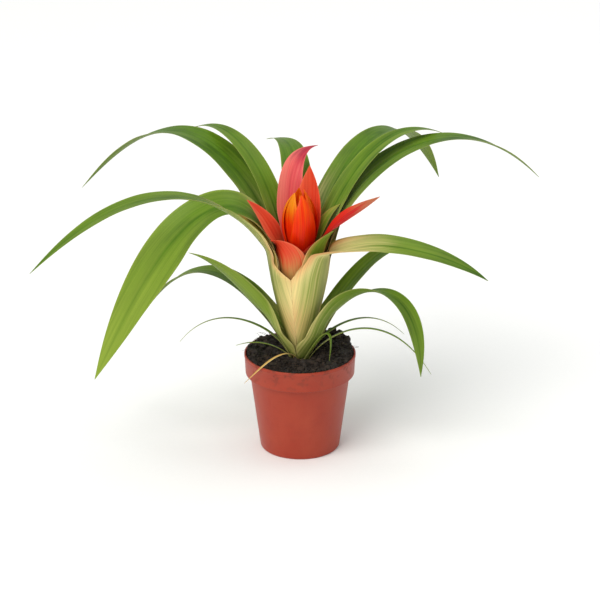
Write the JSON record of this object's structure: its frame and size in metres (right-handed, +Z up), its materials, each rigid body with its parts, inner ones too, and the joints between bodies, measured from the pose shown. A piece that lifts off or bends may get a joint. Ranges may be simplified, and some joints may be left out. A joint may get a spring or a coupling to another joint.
{
  "type": "potted bromeliad",
  "caption": "Young guzmania in a small plastic nursery pot, with strap leaves arching from a funnel round red bracts and a pointed orange bud.",
  "frame": {"origin": "centre of the pot's underside, on the surface that the pot stands on", "axes": "+Z up along the axis of the pot and the stem, -Y towards the front, +X to the right seen from the front"},
  "size_m": [0.3119, 0.2488, 0.1937],
  "materials": {
    "pot_plastic": "moulded terracotta-red plastic with a slight sheen",
    "peat": "moist crumbly peat with bark fibres",
    "stem": "pale green, smooth",
    "leaf": "smooth strap leaf, semi-gloss, paler towards the base",
    "dry_leaf": "withered, dull",
    "bract": "thin, semi-gloss red",
    "bud_bract": "waxy orange-red",
    "flower_bud": "waxy yellow-orange"
  },
  "bodies": {
    "root": {"pot": "pot_plastic", "soil": "peat", "stem": "stem", "flower_buds": "flower_bud", "leaf_front_left": "leaf", "leaf_back_right": "leaf", "leaf_right": "leaf", "leaf_back_left": "leaf", "leaf_broad_left": "leaf", "leaf_long_right": "leaf", "leaf_inner_right": "leaf", "leaf_inner_left": "leaf", "leaf_short_left": "leaf", "leaf_short_right": "leaf", "leaf_back": "leaf", "leaf_low_left": "leaf", "leaf_low_right": "leaf", "leaf_low_back_right": "leaf", "leaf_low_back_left": "leaf", "leaf_low_back": "leaf", "slender_leaf_dry": "dry_leaf", "slender_leaf_front_left": "leaf", "slender_leaf_front_right": "leaf", "slender_leaf_right": "leaf", "slender_leaf_back_right": "leaf", "slender_leaf_left": "leaf", "bract_front": "bract", "bract_right": "bract", "bract_left": "bract", "bract_back": "bract", "bract_back_side": "bract", "bract_back_right": "bract", "bud_bract_1": "bud_bract", "bud_bract_2": "bud_bract", "bud_bract_3": "bud_bract", "bud_bract_4": "bud_bract", "bud_bract_5": "bud_bract", "bud_bract_6": "bud_bract"}
  },
  "joints": []
}
